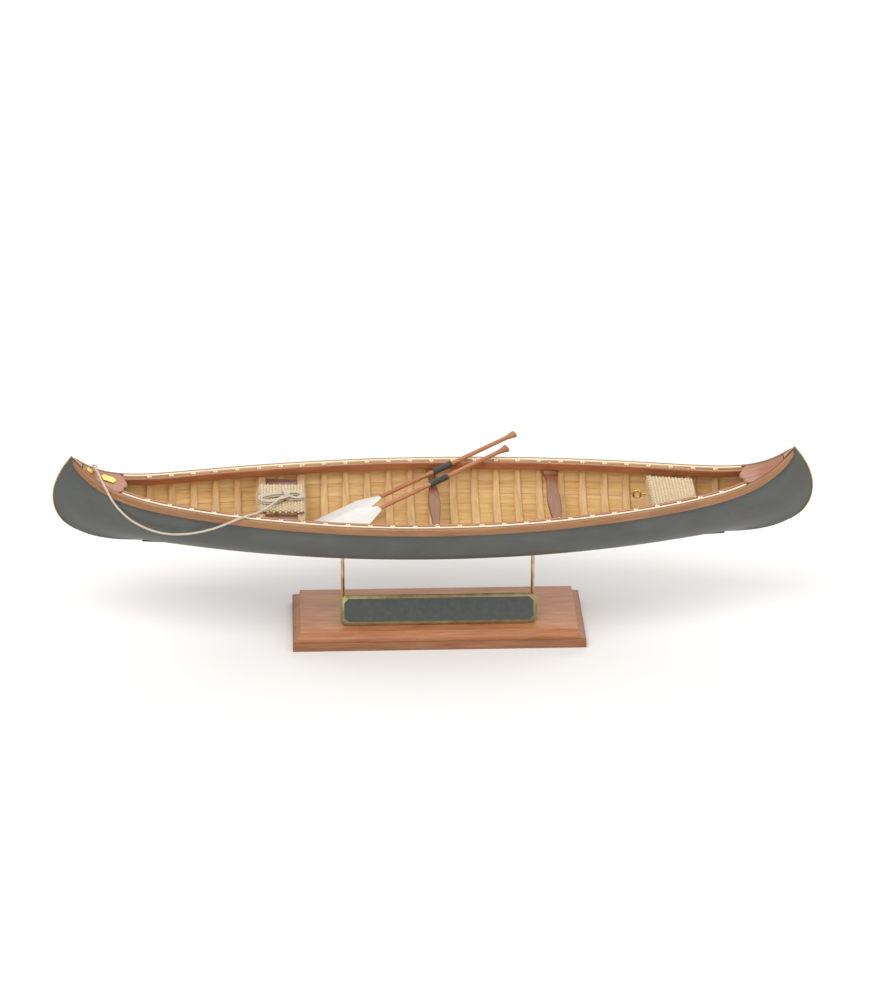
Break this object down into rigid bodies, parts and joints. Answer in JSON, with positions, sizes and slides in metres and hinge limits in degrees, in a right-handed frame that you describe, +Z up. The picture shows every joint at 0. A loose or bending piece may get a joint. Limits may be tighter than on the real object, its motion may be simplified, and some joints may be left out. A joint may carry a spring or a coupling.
{
  "type": "model canoe on a stand",
  "caption": "Display model of a wood-and-canvas canoe with ribs, decks, woven seats, paddles and a painter, lifting off two brass rods on a moulded wooden plinth.",
  "frame": {"origin": "middle of the plinth's underside", "axes": "+X towards the canoe's stern, +Y to starboard, +Z up"},
  "size_m": [0.408, 0.1036, 0.1037],
  "materials": {
    "plinth_wood": "satin",
    "brass": "polished",
    "plate_gold": "satin",
    "plate_field": "satin",
    "painted_canvas": "satin",
    "cedar_plank": "varnished",
    "cedar_rib": "varnished",
    "gunwale_wood": "varnished",
    "mahogany": "varnished",
    "thwart_wood": "varnished",
    "seat_rail_wood": "varnished",
    "seat_weave": "matte",
    "painter_rope": "matte",
    "paddle_white": "painted",
    "paddle_shaft": "varnished",
    "sleeve_leather": "matte"
  },
  "bodies": {
    "stand": {"plinth": "plinth_wood", "rod_forward": "brass", "rod_aft": "brass", "plate_rest": "plinth_wood", "name_plate": "plate_gold", "name_plate_field": "plate_field"},
    "canoe": {"canvas_skin": "painted_canvas", "plank_port_1": "cedar_plank", "plank_port_2": "cedar_plank", "plank_port_3": "cedar_plank", "plank_port_4": "cedar_plank", "plank_port_5": "cedar_plank", "plank_port_6": "cedar_plank", "plank_port_7": "cedar_plank", "plank_starboard_1": "cedar_plank", "plank_starboard_2": "cedar_plank", "plank_starboard_3": "cedar_plank", "plank_starboard_4": "cedar_plank", "plank_starboard_5": "cedar_plank", "plank_starboard_6": "cedar_plank", "plank_starboard_7": "cedar_plank", "ribs": "cedar_rib", "bow_stem": "cedar_rib", "stern_stem": "cedar_rib", "bow_stem_band": "brass", "stern_stem_band": "brass", "inwale_port": "mahogany", "inwale_starboard": "mahogany", "outwale_port": "gunwale_wood", "outwale_starboard": "gunwale_wood", "bow_deck": "mahogany", "stern_deck": "mahogany", "outside_keel": "painted_canvas", "centre_thwart": "thwart_wood", "stern_thwart": "thwart_wood", "thwart_bolts": "brass", "bow_seat_front_rail": "seat_rail_wood", "bow_seat_rear_rail": "seat_rail_wood", "bow_seat_side_boards": "mahogany", "bow_seat_panel": "seat_weave", "stern_seat_front_rail": "seat_rail_wood", "stern_seat_rear_rail": "seat_rail_wood", "stern_seat_panel": "seat_weave", "seat_bolts": "brass", "stern_seat_eye": "brass", "bow_deck_plate_small": "plate_gold", "bow_deck_plate_large": "plate_gold", "painter_eye": "brass", "painter_line": "painter_rope", "painter_hank": "painter_rope"},
    "far_paddle": {"far_paddle_blade": "paddle_white", "far_paddle_shaft": "paddle_shaft", "far_paddle_grip": "paddle_shaft", "far_paddle_sleeve": "sleeve_leather"},
    "near_paddle": {"near_paddle_blade": "paddle_white", "near_paddle_shaft": "paddle_shaft", "near_paddle_grip": "paddle_shaft", "near_paddle_sleeve": "sleeve_leather"}
  },
  "joints": [
    {"name": "canoe_lift", "type": "slide", "parent": "stand", "child": "canoe", "axis": [0, 0, 1], "range_m": [0, 0.06]},
    {"name": "far_paddle_lift", "type": "slide", "parent": "canoe", "child": "far_paddle", "axis": [0.42, 0.08, 0.904], "range_m": [0, 0.06]},
    {"name": "near_paddle_lift", "type": "slide", "parent": "canoe", "child": "near_paddle", "axis": [0.42, -0.08, 0.904], "range_m": [0, 0.06]}
  ]
}
